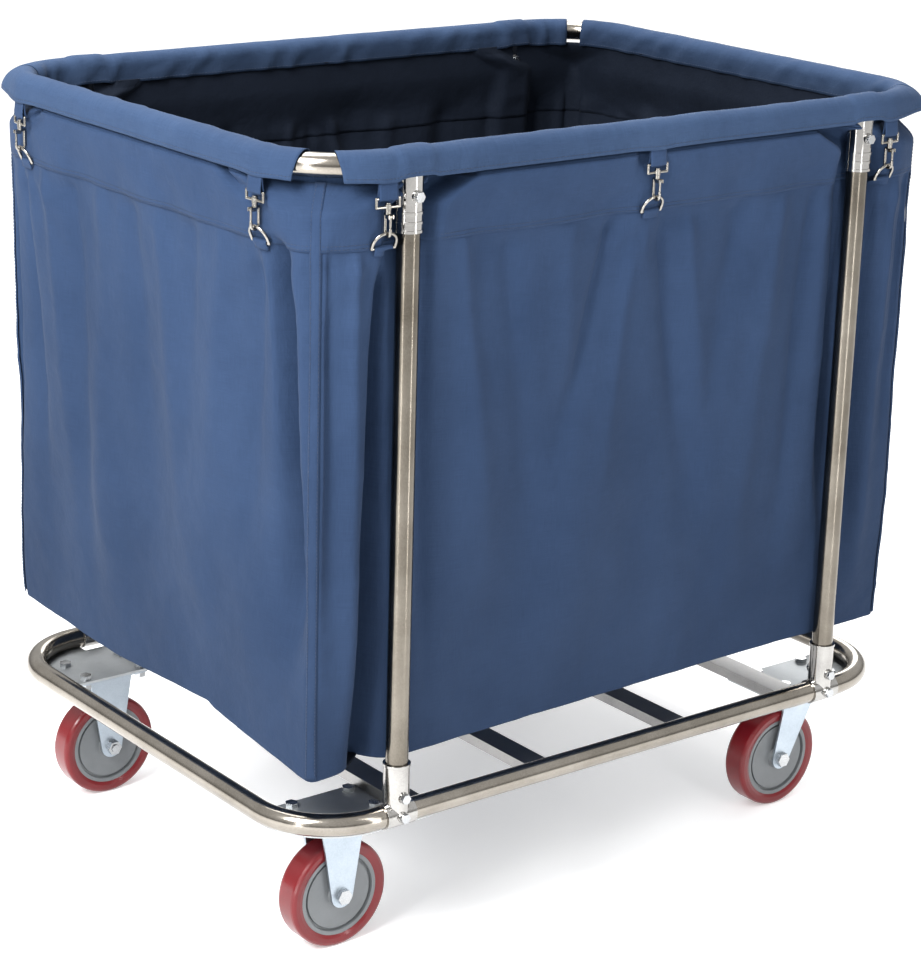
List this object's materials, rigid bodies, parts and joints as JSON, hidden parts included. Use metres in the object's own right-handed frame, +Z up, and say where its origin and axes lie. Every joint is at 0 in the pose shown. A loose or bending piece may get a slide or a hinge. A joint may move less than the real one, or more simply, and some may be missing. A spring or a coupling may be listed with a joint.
{
  "type": "laundry cart",
  "caption": "Wheeled laundry cart: open-topped cloth bag hung inside a tube frame on fixed and swivel casters, with rim flaps clipped to D-rings.",
  "frame": {"origin": "on the floor under the middle of the cart", "axes": "+X along the long side towards the swivel casters, +Y across, +Z up"},
  "size_m": [0.9168, 0.687, 0.9052],
  "materials": {
    "steel_tube": "polished stainless tube",
    "crossbar_steel": "polished stainless flat tube",
    "zinc_plate": "satin zinc-plated sheet",
    "zinc_fork": "blue-white zinc plating",
    "chrome_fitting": "chrome plated",
    "fastener": "bright zinc",
    "hook_metal": "nickel plated",
    "red_tread": "semi-gloss polyurethane",
    "grey_hub": "satin moulded plastic",
    "bag_cloth": "coated woven polyester"
  },
  "bodies": {
    "cart": {"base_ring": "steel_tube", "top_ring": "steel_tube", "crossbars": "crossbar_steel", "front_left_corner_plate": "zinc_plate", "rear_left_corner_plate": "zinc_plate", "front_right_corner_plate": "zinc_plate", "rear_right_corner_plate": "zinc_plate", "front_left_post": "steel_tube", "rear_left_post": "steel_tube", "front_right_post": "steel_tube", "rear_right_post": "steel_tube", "tee_outer_shells": "chrome_fitting", "tee_inner_shells": "chrome_fitting", "tee_bolts": "fastener", "tee_nuts": "fastener", "caster_bolts": "fastener", "caster_nuts": "fastener", "front_left_fixed_bracket": "zinc_fork", "rear_left_fixed_bracket": "zinc_fork", "front_right_swivel_plate": "zinc_fork", "rear_right_swivel_plate": "zinc_fork", "king_pins": "fastener", "fixed_axle_bolts": "fastener", "fixed_axle_nuts": "fastener", "bag_shell": "bag_cloth", "rim_flaps": "bag_cloth", "hook_straps": "bag_cloth", "hook_eyes": "hook_metal", "hook_bodies": "hook_metal", "hook_pins": "hook_metal", "d_rings": "hook_metal", "d_ring_tabs": "bag_cloth"},
    "front_left_wheel": {"front_left_tread": "red_tread", "front_left_hub": "grey_hub"},
    "rear_left_wheel": {"rear_left_tread": "red_tread", "rear_left_hub": "grey_hub"},
    "front_right_wheel": {"front_right_tread": "red_tread", "front_right_hub": "grey_hub"},
    "rear_right_wheel": {"rear_right_tread": "red_tread", "rear_right_hub": "grey_hub"},
    "front_right_swivel": {"front_right_swivel_fork": "zinc_fork", "front_right_axle_bolt": "fastener", "front_right_axle_nut": "fastener"},
    "rear_right_swivel": {"rear_right_swivel_fork": "zinc_fork", "rear_right_axle_bolt": "fastener", "rear_right_axle_nut": "fastener"},
    "front_left_gate": {"front_left_hook_gate": "hook_metal"},
    "front_middle_gate": {"front_middle_hook_gate": "hook_metal"},
    "front_right_gate": {"front_right_hook_gate": "hook_metal"},
    "rear_left_gate": {"rear_left_hook_gate": "hook_metal"},
    "rear_middle_gate": {"rear_middle_hook_gate": "hook_metal"},
    "rear_right_gate": {"rear_right_hook_gate": "hook_metal"},
    "left_front_gate": {"left_front_hook_gate": "hook_metal"},
    "left_rear_gate": {"left_rear_hook_gate": "hook_metal"},
    "right_front_gate": {"right_front_hook_gate": "hook_metal"},
    "right_rear_gate": {"right_rear_hook_gate": "hook_metal"}
  },
  "joints": [
    {"name": "front_right_caster_swivel", "type": "hinge", "parent": "cart", "child": "front_right_swivel", "pos_m": [0.35, -0.248, 0.14], "axis": [0, 0, 1], "continuous": true},
    {"name": "rear_right_caster_swivel", "type": "hinge", "parent": "cart", "child": "rear_right_swivel", "pos_m": [0.35, 0.248, 0.14], "axis": [0, 0, 1], "continuous": true},
    {"name": "front_left_wheel_spin", "type": "hinge", "parent": "cart", "child": "front_left_wheel", "pos_m": [-0.35, -0.248, 0.0625], "axis": [0, 1, 0], "continuous": true},
    {"name": "rear_left_wheel_spin", "type": "hinge", "parent": "cart", "child": "rear_left_wheel", "pos_m": [-0.35, 0.248, 0.0625], "axis": [0, 1, 0], "continuous": true},
    {"name": "front_right_wheel_spin", "type": "hinge", "parent": "front_right_swivel", "child": "front_right_wheel", "pos_m": [0.318, -0.248, 0.0625], "axis": [0, 1, 0], "continuous": true},
    {"name": "rear_right_wheel_spin", "type": "hinge", "parent": "rear_right_swivel", "child": "rear_right_wheel", "pos_m": [0.318, 0.248, 0.0625], "axis": [0, 1, 0], "continuous": true},
    {"name": "front_left_gate_hinge", "type": "hinge", "parent": "cart", "child": "front_left_gate", "pos_m": [-0.35658, -0.34112, 0.838], "axis": [0.9965, -0.0833, 0], "range_deg": [0, 30], "stiffness_Nm_per_rad": 0.0005, "springref_deg": -20.05},
    {"name": "front_middle_gate_hinge", "type": "hinge", "parent": "cart", "child": "front_middle_gate", "pos_m": [0, -0.3415, 0.838], "axis": [1, 0, 0], "range_deg": [0, 30], "stiffness_Nm_per_rad": 0.0005, "springref_deg": -20.05},
    {"name": "front_right_gate_hinge", "type": "hinge", "parent": "cart", "child": "front_right_gate", "pos_m": [0.35658, -0.34112, 0.838], "axis": [0.9965, 0.0833, 0], "range_deg": [0, 30], "stiffness_Nm_per_rad": 0.0005, "springref_deg": -20.05},
    {"name": "rear_left_gate_hinge", "type": "hinge", "parent": "cart", "child": "rear_left_gate", "pos_m": [-0.35658, 0.34112, 0.838], "axis": [-0.9965, -0.0833, 0], "range_deg": [0, 30], "stiffness_Nm_per_rad": 0.0005, "springref_deg": -20.05},
    {"name": "rear_middle_gate_hinge", "type": "hinge", "parent": "cart", "child": "rear_middle_gate", "pos_m": [0, 0.3415, 0.838], "axis": [-1, 0, 0], "range_deg": [0, 30], "stiffness_Nm_per_rad": 0.0005, "springref_deg": -20.05},
    {"name": "rear_right_gate_hinge", "type": "hinge", "parent": "cart", "child": "rear_right_gate", "pos_m": [0.35658, 0.34112, 0.838], "axis": [-0.9965, 0.0833, 0], "range_deg": [0, 30], "stiffness_Nm_per_rad": 0.0005, "springref_deg": -20.05},
    {"name": "left_front_gate_hinge", "type": "hinge", "parent": "cart", "child": "left_front_gate", "pos_m": [-0.45612, -0.24158, 0.838], "axis": [0.0833, -0.9965, 0], "range_deg": [0, 30], "stiffness_Nm_per_rad": 0.0005, "springref_deg": -20.05},
    {"name": "left_rear_gate_hinge", "type": "hinge", "parent": "cart", "child": "left_rear_gate", "pos_m": [-0.45612, 0.24158, 0.838], "axis": [-0.0833, -0.9965, 0], "range_deg": [0, 30], "stiffness_Nm_per_rad": 0.0005, "springref_deg": -20.05},
    {"name": "right_front_gate_hinge", "type": "hinge", "parent": "cart", "child": "right_front_gate", "pos_m": [0.45612, -0.24158, 0.838], "axis": [0.0833, 0.9965, 0], "range_deg": [0, 30], "stiffness_Nm_per_rad": 0.0005, "springref_deg": -20.05},
    {"name": "right_rear_gate_hinge", "type": "hinge", "parent": "cart", "child": "right_rear_gate", "pos_m": [0.45612, 0.24158, 0.838], "axis": [-0.0833, 0.9965, 0], "range_deg": [0, 30], "stiffness_Nm_per_rad": 0.0005, "springref_deg": -20.05}
  ]
}
